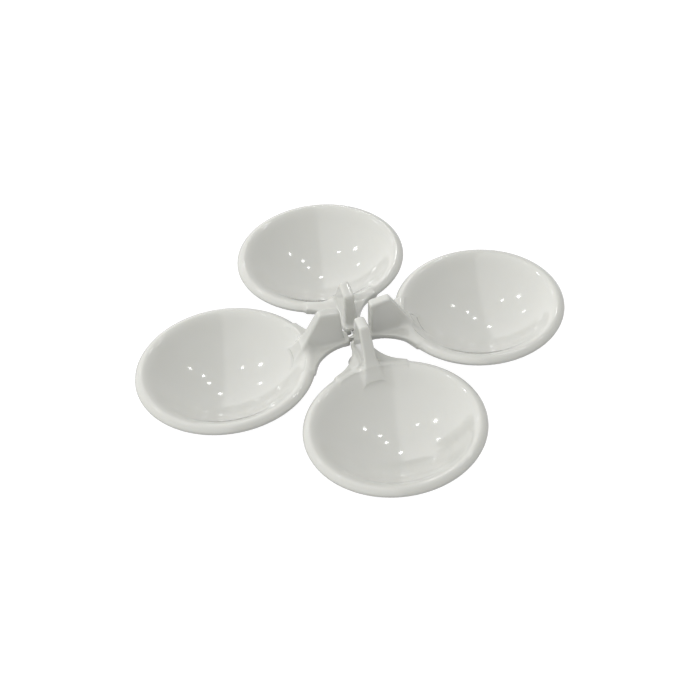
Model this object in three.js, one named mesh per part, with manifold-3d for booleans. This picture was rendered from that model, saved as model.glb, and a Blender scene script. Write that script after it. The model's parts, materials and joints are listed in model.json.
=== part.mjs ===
// Mixing palette: four round wells on short arms around one small hub.
// Each well is one moulding (bowl, turned-down lip, neck and upright finger grip) that drops
// from above onto a pin of the hub.  Millimetres, +Z up, the table is the plane z = 0 and the
// hub's axis is the Z axis.  The front well lies towards -Y and the right well towards +X.
// Every well is drawn along +X and then turned into its place.
import * as THREE from 'three';
import { mergeVertices } from 'three/addons/utils/BufferGeometryUtils.js';
import Module from 'manifold-3d';

const wasm = await Module();
wasm.setup();

// ---- driving dimensions -------------------------------------------------------------------
const wellSpacing = 45.2; // hub axis to the middle of each well
const wellRadius = 30; // outside of the lip
const lipTop = 15; // height of the lip above the table
const hollowRadius = 35.8; // the hollow of a well is part of a sphere
const wellDepth = 12; // from the lip's top to the lowest point of the hollow
const wallThickness = 1.8;
const skirtStart = 28; // the lip's flat top ends here and its outer cone begins
const lipBottom = 12; // height of the lip's lower edge
const lipEdgeRound = 0.3;
const footRadius = 11.5; // outside of the ring that the well stands on
const footWidth = 2;
const gripHeight = 12.5; // the highest point of the grip above the lip's top
const gripRise = 1; // its top is lower by this much at the inner end
const gripTopThickness = 3.8;
const gripFootThickness = 4.8;
const gripStart = 5; // distance of the grip's inner end from the hub axis
const gripTopLength = 7.5;
const gripTopBevel = 0.8;
const gripShoulder = 18.2; // where the grip's slope ends, from the hub axis
const gripShoulderHeight = 2.6; // the same point above the lip's top
const gripEnd = 19; // the grip runs out on top of the lip
const neckHalfWidth = 3.1; // at its narrowest
const neckStep = 0.8; // the neck's top below the lip's top
const neckThickness = 2.9;
const neckFillet = 16; // radius of the hollow curve between neck and lip
const armStart = 2.8; // inner end of each arm
const armGap = 0.8; // between the corners of neighbouring arms
const keelHalfWidth = 2.4; // the thicker middle of the neck that holds the socket
const keelDepth = 0.2; // below the underside of the neck
const pinRadius = 1.1;
const pinDistance = 7.2; // hub axis to each pin
const pinHeight = 9;
const webThickness = 1;
const webHeight = 1.8;
const legRadius = 1.4; // the hub's leg stands on the table between the wells
const legFootRadius = 3.4;
const legFootHeight = 2.4; // the foot narrows to the leg over this height
const legFootEdge = 0.6;
const clearance = 0.3; // between the hub and its sockets
const overlap = 1; // how far solids that are joined or cut reach into each other

// ---- dimensions that follow ---------------------------------------------------------------
const wellFloor = lipTop - wellDepth;
const sphereHeight = wellFloor + hollowRadius; // the centre of the hollow's sphere
const rimRadius = Math.sqrt(hollowRadius ** 2 - (sphereHeight - lipTop) ** 2);
const gripTop = lipTop + gripHeight;
const gripTopEnd = gripStart + gripTopLength;
const neckTop = lipTop - neckStep;
const neckBottom = neckTop - neckThickness;
const keelBottom = neckBottom - keelDepth;
const webTop = keelBottom + webHeight;
const pinTop = keelBottom + pinHeight;
const cornerInset = armGap / Math.SQRT2; // from the diagonal between two arms, along an arm

const roundSegments = 48;
const pinSegments = 16;
const glossPlastic = { color: 0xdfe0db, roughness: 0.22, metalness: 0 };

// ---- helpers --------------------------------------------------------------------------------
function toSolid(geometry) {
  geometry.deleteAttribute('normal');
  geometry.deleteAttribute('uv');
  const merged = mergeVertices(geometry, 1e-4);
  const mesh = new wasm.Mesh({
    numProp: 3,
    vertProperties: new Float32Array(merged.attributes.position.array),
    triVerts: new Uint32Array(merged.index.array),
  });
  return new wasm.Manifold(mesh);
}

function toGeometry(solid) {
  const mesh = solid.getMesh();
  const geometry = new THREE.BufferGeometry();
  geometry.setAttribute('position', new THREE.BufferAttribute(mesh.vertProperties, 3));
  geometry.setIndex(new THREE.BufferAttribute(mesh.triVerts, 1));
  geometry.computeVertexNormals();
  return geometry;
}

function prism(shape, bottom, top) {
  const geometry = new THREE.ExtrudeGeometry(shape, { depth: top - bottom, bevelEnabled: false });
  return toSolid(geometry.translate(0, 0, bottom));
}

// A box along the arm, centred on y = 0.
function block(xStart, xEnd, halfWidth, bottom, top) {
  const box = new THREE.BoxGeometry(xEnd - xStart, 2 * halfWidth, top - bottom);
  return toSolid(box.translate((xStart + xEnd) / 2, 0, (bottom + top) / 2));
}

function post(x, radius, bottom, top) {
  const cylinder = new THREE.CylinderGeometry(radius, radius, top - bottom, pinSegments);
  return toSolid(cylinder.rotateX(Math.PI / 2).translate(x, 0, (bottom + top) / 2));
}

// Points of an arc about (cx, cy), from one angle to another in degrees.
function arc(cx, cy, radius, from, to, steps) {
  return Array.from({ length: steps + 1 }, (_, i) => {
    const angle = THREE.MathUtils.degToRad(from + ((to - from) * i) / steps);
    return new THREE.Vector2(cx + radius * Math.cos(angle), cy + radius * Math.sin(angle));
  });
}

// ---- the well: a shallow round bowl with a turned-down lip and a ring foot ------------------
// Points at equal steps along the lower side of a sphere about the well's axis.
function sphereSection(radius, fromX, toX, steps) {
  return Array.from({ length: steps + 1 }, (_, i) => {
    const x = THREE.MathUtils.lerp(fromX, toX, i / steps);
    return new THREE.Vector2(x, sphereHeight - Math.sqrt(radius ** 2 - x ** 2));
  });
}

// The lip's outer cone falls at 45 degrees.  This is its point at a given height, or the
// point at that height on the same cone moved into the material by depth.
function conePoint(height, depth = 0) {
  return new THREE.Vector2(skirtStart + lipTop - height - depth * Math.SQRT2, height);
}

// The top of the lip, from the outer cone to the edge of the hollow, with rounded turns.
function lipCrest(hollowEdge) {
  const middle = new THREE.Vector2((rimRadius + skirtStart) / 2, lipTop);
  const cone = conePoint(lipTop - 0.7);
  const outerCorner = new THREE.Vector2(skirtStart, lipTop);
  const innerCorner = new THREE.Vector2(rimRadius, lipTop);
  const outerTurn = new THREE.QuadraticBezierCurve(cone, outerCorner, middle);
  const innerTurn = new THREE.QuadraticBezierCurve(middle, innerCorner, hollowEdge);
  return [...outerTurn.getPoints(2), ...innerTurn.getPoints(3).slice(1)];
}

function bowl() {
  const outerRadius = hollowRadius + wallThickness;
  const footInner = footRadius - footWidth;
  const wallEnd = conePoint(lipBottom + 1, wallThickness);
  const hollow = sphereSection(hollowRadius, rimRadius - 1.6, 0, 7);
  const profile = [
    ...sphereSection(outerRadius, 0, footInner, 2),
    new THREE.Vector2(footInner, 0),
    new THREE.Vector2(footRadius, 0),
    ...sphereSection(outerRadius, footRadius, wallEnd.x, 4),
    conePoint(lipBottom, wallThickness),
    new THREE.Vector2(wellRadius - lipEdgeRound, lipBottom),
    new THREE.Vector2(wellRadius, lipBottom + lipEdgeRound),
    new THREE.Vector2(wellRadius, skirtStart + lipTop - wellRadius),
    ...lipCrest(hollow[0]),
    ...hollow.slice(1),
  ];
  const lathe = new THREE.LatheGeometry(profile, roundSegments);
  return toSolid(lathe.rotateX(Math.PI / 2).translate(wellSpacing, 0, 0));
}

// ---- the arm: a flat neck that flares into the lip ------------------------------------------
// One flank: a hollow arc that is tangent to the lip's outer circle, and an end that is
// buried in the lip.
function neckFlank() {
  const filletY = neckHalfWidth + neckFillet;
  const filletX = wellSpacing - Math.sqrt((wellRadius + neckFillet) ** 2 - filletY ** 2);
  const towardsWell = THREE.MathUtils.radToDeg(Math.atan2(-filletY, wellSpacing - filletX));
  return [
    ...arc(filletX, filletY, neckFillet, -90, towardsWell, 9),
    ...arc(wellSpacing, 0, rimRadius, 180 + towardsWell, 180, 4),
  ];
}

// The room of one arm between the diagonals to its neighbours.
function armSector() {
  const nearEnd = armStart - cornerInset;
  const farEnd = wellSpacing - cornerInset;
  return new THREE.Shape([
    new THREE.Vector2(armStart, -nearEnd),
    new THREE.Vector2(wellSpacing, -farEnd),
    new THREE.Vector2(wellSpacing, farEnd),
    new THREE.Vector2(armStart, nearEnd),
  ]);
}

function neck() {
  const flank = neckFlank();
  const otherFlank = flank.slice(0, -1).reverse().map(({ x, y }) => new THREE.Vector2(x, -y));
  const bar = prism(new THREE.Shape([...flank, ...otherFlank]), neckBottom, neckTop);
  return bar.intersect(prism(armSector(), neckBottom - overlap, neckTop + overlap));
}

function keel() {
  const end = wellSpacing - rimRadius;
  return block(armStart, end, keelHalfWidth, keelBottom, neckBottom + overlap);
}

// ---- the finger grip: an upright fin along the neck, thicker at its foot --------------------
function gripProfile() {
  const innerTop = gripTop - gripRise;
  const profile = new THREE.Shape();
  profile.moveTo(gripStart, neckTop - overlap);
  profile.lineTo(gripStart, innerTop - gripTopBevel);
  profile.lineTo(gripStart + gripTopBevel, innerTop);
  profile.lineTo(gripTopEnd - gripTopBevel, gripTop);
  profile.lineTo(gripTopEnd, gripTop - gripTopBevel);
  profile.lineTo(gripShoulder, lipTop + gripShoulderHeight);
  profile.lineTo(gripEnd, lipTop - 0.5);
  profile.lineTo(gripEnd, neckTop - overlap);
  return profile;
}

function grip() {
  const geometry = new THREE.ExtrudeGeometry(gripProfile(), { depth: 1, bevelEnabled: false });
  geometry.rotateX(Math.PI / 2).translate(0, 0.5, 0);
  const position = geometry.attributes.position;
  for (let i = 0; i < position.count; i += 1) {
    const rise = (position.getZ(i) - neckTop) / (gripTop - neckTop);
    const thickness = THREE.MathUtils.lerp(gripFootThickness, gripTopThickness, rise);
    position.setY(i, position.getY(i) * thickness);
  }
  return toSolid(geometry);
}

// ---- one well moulding, with a socket for the hub's pin and a groove for its web -------------
function hubSocket() {
  const hole = post(pinDistance, pinRadius + clearance, keelBottom - overlap, pinTop + clearance);
  const grooveHalfWidth = webThickness / 2 + clearance;
  const grooveTop = webTop + clearance;
  const groove = block(0, pinDistance, grooveHalfWidth, keelBottom - overlap, grooveTop);
  return hole.add(groove);
}

function cupGeometry() {
  const moulding = bowl().add(neck()).add(keel()).add(grip());
  return toGeometry(moulding.subtract(hubSocket()));
}

// ---- the hub: a thin cross on a leg, with a pin at the end of each web ----------------------
function leg() {
  const profile = [
    new THREE.Vector2(0, 0),
    new THREE.Vector2(legFootRadius, 0),
    new THREE.Vector2(legFootRadius, legFootEdge),
    new THREE.Vector2(legRadius, legFootHeight),
    new THREE.Vector2(legRadius, webTop),
    new THREE.Vector2(0, webTop),
  ];
  return toSolid(new THREE.LatheGeometry(profile, pinSegments).rotateX(Math.PI / 2));
}

function hubGeometry() {
  let hub = leg();
  for (let quarter = 0; quarter < 4; quarter += 1) {
    const web = block(0, pinDistance, webThickness / 2, keelBottom, webTop);
    const pin = post(pinDistance, pinRadius, keelBottom, pinTop);
    hub = hub.add(web.add(pin).rotate([0, 0, quarter * 90]));
  }
  return toGeometry(hub);
}

// ---- assembly -------------------------------------------------------------------------------
function addPiece(group, name, geometry, degrees = 0) {
  const piece = new THREE.Mesh(geometry, new THREE.MeshStandardMaterial(glossPlastic));
  piece.name = name;
  piece.rotation.z = THREE.MathUtils.degToRad(degrees);
  group.add(piece);
}

const palette = new THREE.Group();
addPiece(palette, 'hub', hubGeometry());

const cup = cupGeometry();
const cupDirections = { cup_right: 0, cup_back: 90, cup_left: 180, cup_front: 270 };
for (const [name, degrees] of Object.entries(cupDirections)) {
  addPiece(palette, name, cup, degrees);
}

export default palette;
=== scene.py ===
"""A white plastic mixing palette: four round wells that lift off one small hub.

Each well is one moulding: a shallow bowl with a turned-down lip, a ring foot, a short neck and
an upright finger grip.  Its surface is described as a signed distance in millimetres, with the
arm along +X and the hub's axis at x = 0, is meshed once, and is then placed four times.
"""
import json
import math

import bpy
import numpy as np
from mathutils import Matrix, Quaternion, Vector


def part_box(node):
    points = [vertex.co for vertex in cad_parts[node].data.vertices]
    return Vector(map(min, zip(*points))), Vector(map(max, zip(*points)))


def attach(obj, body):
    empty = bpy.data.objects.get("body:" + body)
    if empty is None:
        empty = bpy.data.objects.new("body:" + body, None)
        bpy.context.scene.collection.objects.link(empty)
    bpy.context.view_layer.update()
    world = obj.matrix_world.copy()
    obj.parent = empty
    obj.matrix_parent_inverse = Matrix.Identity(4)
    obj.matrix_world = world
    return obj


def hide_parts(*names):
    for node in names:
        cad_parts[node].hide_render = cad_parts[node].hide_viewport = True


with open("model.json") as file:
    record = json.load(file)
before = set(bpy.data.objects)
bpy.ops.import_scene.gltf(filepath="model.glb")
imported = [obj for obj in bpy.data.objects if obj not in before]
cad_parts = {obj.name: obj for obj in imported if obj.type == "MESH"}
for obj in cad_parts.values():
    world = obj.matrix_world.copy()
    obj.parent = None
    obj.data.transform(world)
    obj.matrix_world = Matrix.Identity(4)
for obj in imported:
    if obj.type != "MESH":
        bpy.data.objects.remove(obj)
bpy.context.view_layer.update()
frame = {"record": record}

MM = 0.001

# ---- sizes from the frame, in millimetres ---------------------------------------------------


def box_mm(node):
    low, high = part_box(node)
    return low / MM, high / MM


def lip_height():
    """The top of the lips: the openings of the wells end there."""
    openings = frame["record"]["physics"]["openings"]
    return max(opening["box_m"][1][2] for opening in openings) / MM


cup_low, cup_high = box_mm("cup_right")
hub_low, hub_high = box_mm("hub")
WELL_RADIUS = cup_high.y
WELL_SPACING = cup_high.x - WELL_RADIUS
GRIP_TOP = cup_high.z
LIP_TOP = lip_height()
ARM_START = cup_low.x
PIN_TOP = hub_high.z

# ---- the well's own shape, in millimetres ---------------------------------------------------

HOLLOW_RADIUS = 35.8  # the hollow of the well is part of a sphere
WELL_DEPTH = 12.0
SPHERE_HEIGHT = LIP_TOP - WELL_DEPTH + HOLLOW_RADIUS
WALL = 1.8
RIM_ROUNDING = 4.0  # the hollow turns softly into the flat top of the lip
SKIRT_START = WELL_RADIUS - 2.0  # the lip's top meets its outer cone here
SKIRT_SLOPE = math.radians(45)
SKIRT_ROUNDING = 2.2
LIP_BOTTOM = LIP_TOP - 2.9
LIP_EDGE_ROUNDING = 0.8
GROOVE_RADIUS = WELL_RADIUS - 3.0  # middle of the groove below the lip
GROOVE_ROUNDING = 0.5
FOOT_MIDDLE = 10.5  # radius of the ring foot's middle line
FOOT_HALF_WIDTH = 1.0
FOOT_TOP = LIP_TOP - WELL_DEPTH + 0.8  # just inside the bowl's wall
FOOT_ROUNDING = 0.8
FOOT_FILLET = 1.4
GATE_HEIGHT = 1.2  # underside of the bowl's middle
GATE_RADIUS = 1.6  # the round mark under the well where the plastic came in
GATE_DEPTH = 0.35
GATE_ROUNDING = 0.3

# ---- the arm's own shape, in millimetres ----------------------------------------------------

NECK_HALF_WIDTH = 3.1  # at its narrowest
NECK_FILLET = 16.0  # radius of the hollow flank between neck and lip
NECK_TOP = LIP_TOP - 0.7
NECK_TOP_ROUNDING = 1.2
NECK_CROWN = 0.3  # the neck's flanks are lower than its middle by this much
NECK_BOTTOM = LIP_BOTTOM
NECK_BOTTOM_ROUNDING = 0.6
NECK_END_ROUNDING = 0.9
NECK_INTO_LIP = 2.2  # fillet between the neck and the lip
ARM_GAP = 0.8  # between the ends of neighbouring arms
ARM_TIP_ROUNDING = 0.6
PIN_HEIGHT = 9.0
KEEL_HALF_WIDTH = 2.4
KEEL_BOTTOM = hub_high.z - PIN_HEIGHT
KEEL_TOP = NECK_TOP - 1.0
KEEL_ROUNDING = 0.6
KEEL_END_ROUNDING = 0.4
KEEL_FILLET = 0.8

GRIP_START = 5.0  # inner end of the grip at half its height, from the hub axis
GRIP_LEAN = 0.6  # the inner end leans outwards by this much over its height
GRIP_TOP_END = 12.4  # outer end of its top
GRIP_RISE = 1.0  # its top is lower by this much at the inner end
GRIP_TOP_HALF = 1.8
GRIP_FOOT_HALF = 2.35
GRIP_SHOULDER = 18.2  # the slope ends here
GRIP_SHOULDER_HEIGHT = LIP_TOP + 2.6
GRIP_BOTTOM = NECK_TOP - 1.5  # inside the neck
GRIP_CREST_ROUNDING = 1.2  # where the top meets the slope
GRIP_EDGE_ROUNDING = 1.6
GRIP_FILLET = 1.8  # at its foot, on the neck
GRIP_FILLET_MORE = 3.0  # added to it where the slope runs down over the lip
GRIP_FILLET_FROM = 14.0
GRIP_FILLET_TO = 18.0

# ---- the hub's own shape, in millimetres ----------------------------------------------------

PIN_RADIUS = 1.1
PIN_DISTANCE = hub_high.x - PIN_RADIUS
PIN_ROUNDING = 0.7
WEB_HALF = 0.5
WEB_TOP = KEEL_BOTTOM + 1.8
WEB_ROUNDING = 0.2
WEB_FILLET = 0.5
CLEARANCE = 0.3
SOCKET_ROUNDING = 0.3
LEG_RADIUS = 1.4
LEG_FOOT_RADIUS = 3.4
LEG_FLARE_BOTTOM = 0.4
LEG_FLARE_TOP = 3.4
LEG_FLARE_STEEPNESS = 0.8  # keeps the distance true enough beside the flare
LEG_ROUNDING = 0.4
LEG_FILLET = 0.9

WELL_MESH_STEP = 0.4
HUB_MESH_STEP = 0.2

# ---- distance helpers -----------------------------------------------------------------------


def union(a, b, reach):
    """Two shapes joined, with a soft fillet that starts where they are reach apart."""
    near = np.maximum(reach - np.abs(a - b), 0.0) / reach
    return np.minimum(a, b) - near**3 * reach / 6


def common(a, b, reach):
    """What two shapes share, with its edges rounded softly."""
    return -union(-a, -b, reach)


def cut(a, b, reach):
    """Shape a with shape b taken away from it."""
    return common(a, -b, reach)


def between(value, low, high):
    """A slab, from low to high."""
    return np.maximum(low - value, value - high)


def ramp(value, start, end):
    """Goes smoothly from 0 at start to 1 at end."""
    t = np.clip((value - start) / (end - start), 0.0, 1.0)
    return t * t * (3 - 2 * t)


def post(x, y, z, centre, radius, bottom, top, rounding):
    """An upright round bar."""
    wall = np.hypot(x - centre, y) - radius
    return common(wall, between(z, bottom, top), rounding)


def line_distance(x, z, start, end):
    """Distance to the left of a line in the arm's middle plane, seen from its start."""
    run = end[0] - start[0]
    climb = end[1] - start[1]
    return ((z - start[1]) * run - (x - start[0]) * climb) / math.hypot(run, climb)


# ---- the well: bowl, lip and ring foot ------------------------------------------------------


def skin(radial, z):
    """The upper side: a hollow sphere that turns over into the lip's flat top and its cone."""
    hollow = HOLLOW_RADIUS - np.hypot(radial, z - SPHERE_HEIGHT)
    out = (radial - SKIRT_START) * math.sin(SKIRT_SLOPE)
    cone = out + (z - LIP_TOP) * math.cos(SKIRT_SLOPE)
    outside = common(z - LIP_TOP, cone, SKIRT_ROUNDING)
    return common(hollow, outside, RIM_ROUNDING)


def bowl(radial, z):
    """An even wall below the skin, on a ring foot."""
    upper = skin(radial, z)
    wall = np.maximum(upper, -upper - WALL)
    lip_edge = common(radial - WELL_RADIUS, LIP_BOTTOM - z, LIP_EDGE_ROUNDING)
    wall = common(wall, np.minimum(lip_edge, radial - GROOVE_RADIUS), GROOVE_ROUNDING)
    ring = np.abs(radial - FOOT_MIDDLE) - FOOT_HALF_WIDTH
    foot = common(ring, between(z, 0.0, FOOT_TOP), FOOT_ROUNDING)
    body = union(wall, foot, FOOT_FILLET)
    flatness = GATE_DEPTH / GATE_RADIUS
    gate = (np.hypot(radial, (z - GATE_HEIGHT) / flatness) - GATE_RADIUS) * flatness
    body = cut(body, gate, GATE_ROUNDING)
    return np.maximum(body, upper)


# ---- the arm: neck, keel and finger grip ----------------------------------------------------


def arm_end(x, radial):
    """The arm's parts end inside the near side of the lip."""
    return np.maximum(GROOVE_RADIUS - radial, x - WELL_SPACING)


def neck(x, y, z, radial):
    """A crowned bar whose flanks are hollow arcs that run out along the lip's outside."""
    side = np.abs(y)
    reach = WELL_RADIUS + NECK_FILLET
    fillet_y = NECK_HALF_WIDTH + NECK_FILLET
    fillet_x = WELL_SPACING - math.sqrt(reach**2 - fillet_y**2)
    hollow = NECK_FILLET - np.hypot(x - fillet_x, side - fillet_y)
    plan = np.where(x < fillet_x, side - NECK_HALF_WIDTH, hollow)
    past_lip = (x - WELL_SPACING) * fillet_y + side * (WELL_SPACING - fillet_x)
    plan = np.maximum(plan, past_lip / reach)
    half_width = side - np.minimum(plan, side - 1.0)
    crown = NECK_CROWN * np.clip(side / half_width, 0.0, 1.0) ** 2
    bar = common(plan, z - NECK_TOP + crown, NECK_TOP_ROUNDING)
    bar = common(bar, NECK_BOTTOM - z, NECK_BOTTOM_ROUNDING)
    diagonal = (side - x + ARM_GAP / math.sqrt(2)) / math.sqrt(2)
    inner_end = common(ARM_START - x, diagonal, ARM_TIP_ROUNDING)
    return np.maximum(common(bar, inner_end, NECK_END_ROUNDING), arm_end(x, radial))


def keel(x, y, z, radial):
    """The thicker middle under the neck, which holds the socket and the groove."""
    slab = between(z, KEEL_BOTTOM, KEEL_TOP)
    bar = common(np.abs(y) - KEEL_HALF_WIDTH, slab, KEEL_ROUNDING)
    return np.maximum(common(bar, ARM_START - x, KEEL_END_ROUNDING), arm_end(x, radial))


def grip(x, y, z):
    """An upright fin, thicker at its foot, with a rising top and a long slope to the lip."""
    rise = (z - NECK_TOP) / (GRIP_TOP - NECK_TOP)
    sides = np.abs(y) - GRIP_FOOT_HALF - (GRIP_TOP_HALF - GRIP_FOOT_HALF) * rise
    inner_top = (GRIP_START, GRIP_TOP - GRIP_RISE)
    outer_top = (GRIP_TOP_END, GRIP_TOP)
    shoulder = (GRIP_SHOULDER, GRIP_SHOULDER_HEIGHT)
    top = line_distance(x, z, inner_top, outer_top)
    slope = line_distance(x, z, outer_top, shoulder)
    start = GRIP_START + GRIP_LEAN * (rise - 0.5)
    profile = common(top, slope, GRIP_CREST_ROUNDING)
    profile = common(profile, start - x, GRIP_EDGE_ROUNDING)
    fin = common(sides, profile, GRIP_EDGE_ROUNDING)
    return np.maximum(fin, GRIP_BOTTOM - z)


def socket(x, y, z):
    """The room for the hub's pin and web, with its clearance."""
    radius = PIN_RADIUS + CLEARANCE
    hole = post(x, y, z, PIN_DISTANCE, radius, 0.0, PIN_TOP + CLEARANCE, SOCKET_ROUNDING)
    width = np.abs(y) - WEB_HALF - CLEARANCE
    groove = np.maximum(width, between(x, -1.0, PIN_DISTANCE))
    groove = np.maximum(groove, z - WEB_TOP - CLEARANCE)
    return np.minimum(hole, groove)


def cup_distance(x, y, z):
    """One well moulding, with its arm along +X from the hub."""
    radial = np.hypot(x - WELL_SPACING, y)
    moulding = union(bowl(radial, z), neck(x, y, z, radial), NECK_INTO_LIP)
    moulding = union(moulding, keel(x, y, z, radial), KEEL_FILLET)
    over_lip = ramp(x, GRIP_FILLET_FROM, GRIP_FILLET_TO)
    moulding = union(moulding, grip(x, y, z), GRIP_FILLET + GRIP_FILLET_MORE * over_lip)
    return cut(moulding, socket(x, y, z), SOCKET_ROUNDING)


# ---- the hub --------------------------------------------------------------------------------


def hub_distance(x, y, z):
    """A thin cross on a leg, with a pin at the end of each web."""
    along = np.maximum(np.abs(x), np.abs(y))
    across = np.minimum(np.abs(x), np.abs(y))
    web = common(across - WEB_HALF, between(z, KEEL_BOTTOM, WEB_TOP), WEB_ROUNDING)
    web = np.maximum(web, along - PIN_DISTANCE)
    pin = post(along, across, z, PIN_DISTANCE, PIN_RADIUS, KEEL_BOTTOM, PIN_TOP, PIN_ROUNDING)
    spread = 1 - ramp(z, LEG_FLARE_BOTTOM, LEG_FLARE_TOP)
    leg_radius = LEG_RADIUS + (LEG_FOOT_RADIUS - LEG_RADIUS) * spread
    leg = (np.hypot(x, y) - leg_radius) * LEG_FLARE_STEEPNESS
    leg = common(leg, between(z, 0.0, WEB_TOP), LEG_ROUNDING)
    return union(union(web, pin, WEB_FILLET), leg, LEG_FILLET)


# ---- from distance to mesh ------------------------------------------------------------------

CELL_CORNERS = [(i, j, k) for i in (0, 1) for j in (0, 1) for k in (0, 1)]
CELL_EDGES = [
    (a, b)
    for a in CELL_CORNERS
    for b in CELL_CORNERS
    if a < b and sum(abs(p - q) for p, q in zip(a, b)) == 1
]


def corner_view(array, corner):
    """The values at one corner of every cell."""
    spans = [slice(c, n - 1 + c) for c, n in zip(corner, array.shape)]
    return array[tuple(spans)]


def cell_points(field):
    """One point for each cell that the surface crosses, in cells; and the cells' numbers."""
    sign = field < 0
    total = sum(corner_view(sign, corner).astype(np.int8) for corner in CELL_CORNERS)
    crossed = (total > 0) & (total < len(CELL_CORNERS))
    number = np.full(crossed.shape, -1, np.int64)
    number[crossed] = np.arange(crossed.sum())
    sums = np.zeros((crossed.sum(), 3))
    counts = np.zeros((crossed.sum(), 1))
    for a, b in CELL_EDGES:
        low = corner_view(field, a)[crossed]
        high = corner_view(field, b)[crossed]
        hit = (low < 0) != (high < 0)
        share = low[hit] / (low[hit] - high[hit])
        start = np.array(a, float)
        step = np.array(b, float) - start
        sums[hit] += start + share[:, None] * step
        counts[hit] += 1
    points = np.argwhere(crossed) + sums / counts
    return points, number


def cell_quads(field, number):
    """One quad for each grid edge that the surface crosses, facing outwards."""
    quads = []
    sign = field < 0
    for axis in range(3):
        second, third = (axis + 1) % 3, (axis + 2) % 3
        from_inside = np.take(sign, range(sign.shape[axis] - 1), axis)
        to_inside = np.take(sign, range(1, sign.shape[axis]), axis)
        for starts_inside in (True, False):
            hits = np.argwhere((from_inside == starts_inside) & (to_inside != starts_inside))
            ring = [(1, 1), (0, 1), (0, 0), (1, 0)]
            if not starts_inside:
                ring = ring[::-1]
            corners = []
            for back_second, back_third in ring:
                cell = hits.copy()
                cell[:, second] -= back_second
                cell[:, third] -= back_third
                corners.append(number[tuple(cell.T)])
            quads.append(np.stack(corners, 1))
    return np.concatenate(quads)


def gradient(distance, points):
    """The direction in which the distance grows, at each point."""
    small = 1e-3
    columns = []
    for axis in range(3):
        shift = np.zeros(3)
        shift[axis] = small
        ahead = distance(*(points + shift).T)
        behind = distance(*(points - shift).T)
        columns.append((ahead - behind) / (2 * small))
    return np.stack(columns, 1)


def settle(distance, points):
    """Moves points onto the surface."""
    rounds = 4
    least_slope = 0.5  # keeps the steps short where the distance is nearly level
    for _ in range(rounds):
        slope = gradient(distance, points)
        steepness = np.maximum((slope**2).sum(1), least_slope**2)
        points = points - slope * (distance(*points.T) / steepness)[:, None]
    return points


def surface_mesh(name, distance, low, high, step):
    """The surface of a shape, as quads of about one step, with exact normals."""
    margin = 2 * step
    axes = [np.arange(a - margin, b + margin + step, step) for a, b in zip(low, high)]
    field = distance(*np.meshgrid(*axes, indexing="ij"))
    points, number = cell_points(field)
    points = points * step + np.array([axis[0] for axis in axes])
    points = settle(distance, points)
    quads = cell_quads(field, number)
    mesh = bpy.data.meshes.new(name)
    mesh.from_pydata(points * MM, [], quads.tolist())
    mesh.shade_smooth()
    normals = gradient(distance, points)
    normals /= np.linalg.norm(normals, axis=1)[:, None]
    mesh.normals_split_custom_set_from_vertices(normals.tolist())
    return mesh


# ---- plastic --------------------------------------------------------------------------------

WARM_WHITE = ((0.70, 0.705, 0.675), (0.68, 0.685, 0.655))  # the lighter and darker clouds
HUB_WHITE = ((0.69, 0.695, 0.665), (0.67, 0.675, 0.645))
CLOUDS_PER_METRE = 45
GLOSS_PATCHES_PER_METRE = 140
FLOW_MARKS_PER_METRE = 420
FLOW_MARK_HEIGHT = 0.00003


def add_node(tree, kind, **inputs):
    """A shader node, with its inputs set; _ stands for a space in an input's name."""
    node = tree.nodes.new(kind)
    for key, value in inputs.items():
        node.inputs[key.replace("_", " ")].default_value = value
    return node


def noise(tree, coordinates, scale, detail):
    """Noise with features of about 1 / scale metres."""
    node = add_node(tree, "ShaderNodeTexNoise", Scale=scale, Detail=detail, Roughness=0.55)
    tree.links.new(coordinates, node.inputs["Vector"])
    return node.outputs["Fac"]


def map_range(tree, value, start, end, low, high):
    """Maps start to low and end to high, and holds them beyond."""
    node = tree.nodes.new("ShaderNodeMapRange")
    node.inputs["From Min"].default_value = start
    node.inputs["From Max"].default_value = end
    node.inputs["To Min"].default_value = low
    node.inputs["To Max"].default_value = high
    tree.links.new(value, node.inputs["Value"])
    return node


def patches(tree, coordinates, scale, detail, low, high):
    """Noise that goes from low to high."""
    value = noise(tree, coordinates, scale, detail)
    return map_range(tree, value, 0.3, 0.7, low, high).outputs["Result"]


def gloss_plastic(name, colours):
    """Warm white moulded plastic: slightly cloudy colour, soft gloss, a trace of flow marks."""
    light, shade = colours
    material = bpy.data.materials.new(name)
    material.use_nodes = True
    tree = material.node_tree
    shader = tree.nodes["Principled BSDF"]
    coordinates = tree.nodes.new("ShaderNodeTexCoord").outputs["Object"]

    tint = tree.nodes.new("ShaderNodeMix")
    tint.data_type = "RGBA"
    tint.inputs["A"].default_value = (*shade, 1)
    tint.inputs["B"].default_value = (*light, 1)
    clouds = patches(tree, coordinates, CLOUDS_PER_METRE, 3, 0, 1)
    tree.links.new(clouds, tint.inputs["Factor"])
    tree.links.new(tint.outputs["Result"], shader.inputs["Base Color"])

    gloss = patches(tree, coordinates, GLOSS_PATCHES_PER_METRE, 4, 0.08, 0.13)
    tree.links.new(gloss, shader.inputs["Roughness"])

    bump = add_node(tree, "ShaderNodeBump", Strength=0.25, Distance=FLOW_MARK_HEIGHT)
    marks = noise(tree, coordinates, FLOW_MARKS_PER_METRE, 2)
    tree.links.new(marks, bump.inputs["Height"])
    tree.links.new(bump.outputs["Normal"], shader.inputs["Normal"])

    shader.inputs["IOR"].default_value = 1.5
    shader.inputs["Coat Weight"].default_value = 1.0
    shader.inputs["Coat Roughness"].default_value = 0.06
    shader.inputs["Subsurface Weight"].default_value = 0.15
    shader.inputs["Subsurface Radius"].default_value = (1.0, 0.9, 0.7)
    shader.inputs["Subsurface Scale"].default_value = 0.0015
    return material


# ---- pieces ---------------------------------------------------------------------------------


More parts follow.
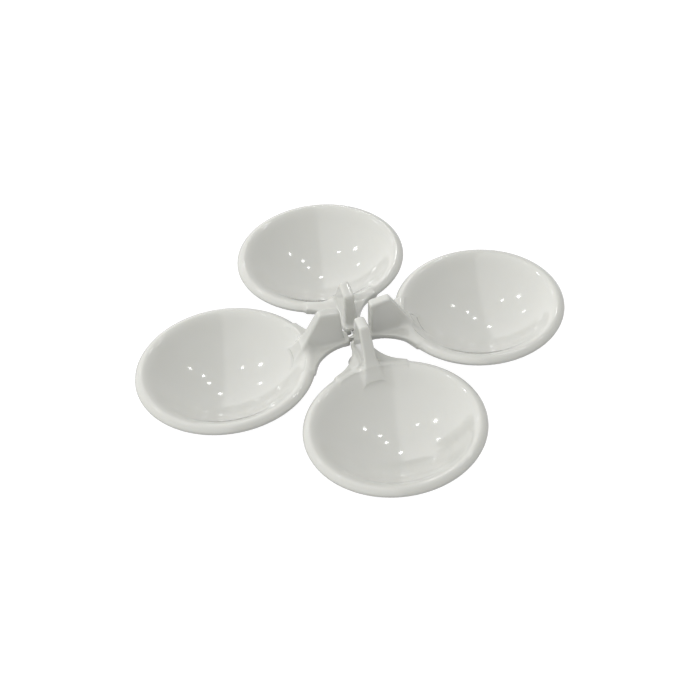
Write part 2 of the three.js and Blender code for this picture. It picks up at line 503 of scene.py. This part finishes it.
def add_piece(name, mesh, material, node, quarter_turns=0):
    """A piece that rides on the CAD body of the same name as the node it replaces."""
    piece = bpy.data.objects.new(name, mesh)
    bpy.context.scene.collection.objects.link(piece)
    piece.rotation_euler.z = math.radians(90 * quarter_turns)
    if not mesh.materials:
        mesh.materials.append(material)
    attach(piece, node)
    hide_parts(node)


def build_palette():
    """Four wells, which share one mesh, and the hub."""
    cup_mesh = surface_mesh("well_moulding", cup_distance, cup_low, cup_high, WELL_MESH_STEP)
    hub_mesh = surface_mesh("hub_moulding", hub_distance, hub_low, hub_high, HUB_MESH_STEP)
    well_plastic = gloss_plastic("well_plastic", WARM_WHITE)
    hub_plastic = gloss_plastic("hub_plastic", HUB_WHITE)
    for turns, direction in enumerate(["right", "back", "left", "front"]):
        name = f"well_{direction}_moulding"
        add_piece(name, cup_mesh, well_plastic, f"cup_{direction}", turns)
    add_piece("hub_moulding", hub_mesh, hub_plastic, "hub")


# ---- floor ----------------------------------------------------------------------------------

FLOOR_SIZE = 6
PAPER_WHITENESS = 0.2  # to the light that falls on the palette from below
MIRRORED_FLOOR = 0.7  # brightness of the floor in the palette's reflections
SEEN_FLOOR = 0.96  # brightness that the camera sees, besides the paper's own


def add_floor():
    """A white sweep.  The camera and the palette's gloss see it evenly bright."""
    bpy.ops.mesh.primitive_plane_add(size=FLOOR_SIZE)
    floor = bpy.context.object
    floor.name = "floor"
    material = bpy.data.materials.new("white_paper")
    material.use_nodes = True
    tree = material.node_tree
    paper = tree.nodes["Principled BSDF"]
    paper.inputs["Base Color"].default_value = (*[PAPER_WHITENESS] * 3, 1)
    paper.inputs["Roughness"].default_value = 0.9
    glow = add_node(tree, "ShaderNodeEmission", Strength=SEEN_FLOOR)
    faint_glow = add_node(tree, "ShaderNodeEmission", Strength=MIRRORED_FLOOR)
    seen = tree.nodes.new("ShaderNodeAddShader")
    tree.links.new(paper.outputs[0], seen.inputs[0])
    tree.links.new(glow.outputs[0], seen.inputs[1])
    ray = tree.nodes.new("ShaderNodeLightPath")
    mirrored = tree.nodes.new("ShaderNodeMixShader")
    tree.links.new(ray.outputs["Is Glossy Ray"], mirrored.inputs["Fac"])
    tree.links.new(paper.outputs[0], mirrored.inputs[1])
    tree.links.new(faint_glow.outputs[0], mirrored.inputs[2])
    chosen = tree.nodes.new("ShaderNodeMixShader")
    tree.links.new(ray.outputs["Is Camera Ray"], chosen.inputs["Fac"])
    tree.links.new(mirrored.outputs[0], chosen.inputs[1])
    tree.links.new(seen.outputs[0], chosen.inputs[2])
    tree.links.new(chosen.outputs[0], tree.nodes["Material Output"].inputs["Surface"])
    floor.data.materials.append(material)


# ---- light ----------------------------------------------------------------------------------

ROOM_LIGHT = 0.61
SOFTBOX_LIGHT = 0.64  # added on the left
SOFTBOX_SIDE = -78  # compass direction of its middle
SOFTBOX_EDGE = 0.04
CAMERA_SIDE = -165
FRONT_DIMMING = 0.75  # the room is darker behind the camera
ROOM_TINT = (1.0, 0.995, 0.975, 1)

LAMP_DISTANCE = 1.5
LAMP_SIZE = 0.06
ROW_LAMPS = [(67, 55), (43, 59), (29, 53), (13, 39)]  # compass direction and elevation


def compass(azimuth, elevation):
    """Unit vector; azimuth 0 is +Y, the back, and 90 is +X, the right."""
    a = math.radians(azimuth)
    e = math.radians(elevation)
    return Vector((math.sin(a) * math.cos(e), math.cos(a) * math.cos(e), math.sin(e)))


def sky_level(tree, direction, towards, start, end, low, high):
    """Goes smoothly from low to high as the view turns towards a direction."""
    along = tree.nodes.new("ShaderNodeVectorMath")
    along.operation = "DOT_PRODUCT"
    along.inputs[1].default_value = towards
    tree.links.new(direction, along.inputs[0])
    node = map_range(tree, along.outputs["Value"], start, end, low, high)
    node.interpolation_type = "SMOOTHSTEP"
    return node.outputs["Result"]


def add_sky():
    """A pale room whose whole left side is a softbox with a fairly sharp edge."""
    world = bpy.data.worlds.new("studio")
    bpy.context.scene.world = world
    world.use_nodes = True
    tree = world.node_tree
    direction = tree.nodes.new("ShaderNodeTexCoord").outputs["Generated"]
    left = compass(SOFTBOX_SIDE, 0)
    brightest = ROOM_LIGHT + SOFTBOX_LIGHT
    sides = sky_level(tree, direction, left, -SOFTBOX_EDGE, SOFTBOX_EDGE, ROOM_LIGHT, brightest)
    front = compass(CAMERA_SIDE, 5)
    dimming = sky_level(tree, direction, front, 0.3, 0.95, 1.0, FRONT_DIMMING)
    strength = tree.nodes.new("ShaderNodeMath")
    strength.operation = "MULTIPLY"
    tree.links.new(sides, strength.inputs[0])
    tree.links.new(dimming, strength.inputs[1])
    background = tree.nodes["Background"]
    tree.links.new(strength.outputs[0], background.inputs["Strength"])
    background.inputs["Color"].default_value = ROOM_TINT


def add_lamp(name, azimuth, elevation, radiance, diameter):
    """A small round lamp that makes a glint in each well."""
    data = bpy.data.lights.new(name, "AREA")
    data.shape = "DISK"
    data.size = diameter
    data.energy = radiance * math.pi**2 * (diameter / 2) ** 2
    lamp = bpy.data.objects.new(name, data)
    towards = compass(azimuth, elevation)
    lamp.location = towards * LAMP_DISTANCE
    lamp.rotation_mode = "QUATERNION"
    lamp.rotation_quaternion = towards.to_track_quat("Z", "Y")
    bpy.context.scene.collection.objects.link(lamp)


def add_lamps():
    """A row of four at the back right, and three at the back left."""
    for number, (azimuth, elevation) in enumerate(ROW_LAMPS):
        add_lamp(f"row_lamp_{number}", azimuth, elevation, 20, LAMP_SIZE)
    add_lamp("left_lamp", -43, 49, 28, LAMP_SIZE * 1.25)
    add_lamp("left_lamp_high", -31, 64, 14, LAMP_SIZE)
    add_lamp("left_lamp_low", -20, 33, 14, LAMP_SIZE)


# ---- camera ---------------------------------------------------------------------------------

# The camera looks past the palette, at a point on the level of the lips, and its lens is shifted.
AIM = Vector((84.0, 32.2, LIP_TOP)) * MM
CAMERA_AZIMUTH = 180 + 22.80
CAMERA_ELEVATION = 39.19
CAMERA_DISTANCE = 0.5918
CAMERA_ROLL = math.radians(1.5)
LENS = 81.4
SENSOR = 36.0
LENS_SHIFT_X = -0.2826
LENS_SHIFT_Y = -0.1832
SHIFT_REACH = 0.0005  # the shift holds within this distance of the viewpoint, in metres


def shift_lens(camera, setting, amount):
    """Shifts the lens at the photograph's viewpoint.  Seen from elsewhere, the lens is centred."""
    curve = camera.data.driver_add(setting)
    curve.driver.type = "SUM"
    place = curve.driver.variables.new()
    place.type = "TRANSFORMS"
    place.targets[0].id = camera
    place.targets[0].transform_type = "LOC_X"
    for modifier in list(curve.modifiers):
        curve.modifiers.remove(modifier)
    home = camera.location.x
    near, away = SHIFT_REACH, 2 * SHIFT_REACH
    steps = [(-away, 0), (-near, amount), (near, amount), (away, 0)]
    curve.keyframe_points.add(len(steps))
    for point, (offset, value) in zip(curve.keyframe_points, steps):
        point.co = (home + offset, value)
        point.interpolation = "LINEAR"


def add_camera():
    """The photograph's viewpoint: in front, a little to the left and well above."""
    back = compass(CAMERA_AZIMUTH, CAMERA_ELEVATION)
    data = bpy.data.cameras.new("camera")
    data.lens = LENS
    data.sensor_width = SENSOR
    data.clip_start = 0.01
    camera = bpy.data.objects.new("camera", data)
    camera.location = AIM + back * CAMERA_DISTANCE
    roll = Quaternion((0, 0, 1), CAMERA_ROLL)
    camera.rotation_mode = "QUATERNION"
    camera.rotation_quaternion = back.to_track_quat("Z", "Y") @ roll
    bpy.context.scene.collection.objects.link(camera)
    bpy.context.scene.camera = camera
    shift_lens(camera, "shift_x", LENS_SHIFT_X)
    shift_lens(camera, "shift_y", LENS_SHIFT_Y)


build_palette()
add_floor()
add_sky()
add_lamps()
add_camera()
bpy.context.scene.view_settings.view_transform = "Standard"
